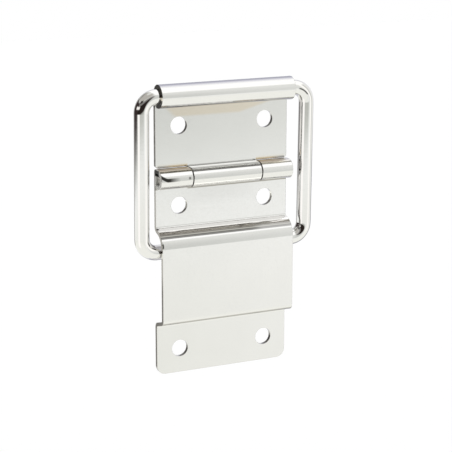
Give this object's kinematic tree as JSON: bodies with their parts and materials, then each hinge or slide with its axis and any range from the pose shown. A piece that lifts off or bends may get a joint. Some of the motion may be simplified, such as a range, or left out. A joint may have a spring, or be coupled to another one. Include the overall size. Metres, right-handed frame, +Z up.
{
  "type": "lid stay",
  "caption": "Hinged lid stay for a case: two folded steel leaves with rivet holes on a hinge pin, and a wire ring that slides in a channel and holds the lid open.",
  "frame": {"origin": "centre of the case leaf's four fixing holes, on the plane of the wall that both leaves are fixed to", "axes": "+X along the hinge pin to the right as seen from the front, +Y into the wall, +Z up from the case to the lid, with the lid shut"},
  "size_m": [0.0513, 0.0062, 0.0785],
  "materials": {
    "leaf_plating": "bright nickel plate on folded sheet, faintly satin on the flats",
    "ring_plating": "bright nickel plate on round wire, mirror smooth",
    "pin_steel": "plain bright wire, dull at the ends"
  },
  "bodies": {
    "case": {"lower_leaf": "leaf_plating", "hinge_pin": "pin_steel"},
    "lid": {"upper_leaf": "leaf_plating"},
    "ring": {"stay_ring": "ring_plating"}
  },
  "joints": [
    {"name": "lid_hinge", "type": "hinge", "parent": "case", "child": "lid", "pos_m": [0, -0.0026, 0.0272], "axis": [1, 0, 0], "range_deg": [0, 92.6]},
    {"name": "ring_pivot", "type": "hinge", "parent": "lid", "child": "ring", "pos_m": [0, -0.0031, 0.049], "axis": [1, 0, 0], "range_deg": [-45, 0]}
  ],
  "couplings": [
    {"joint": "ring_pivot", "follows": "lid_hinge", "ratio": -0.485}
  ]
}
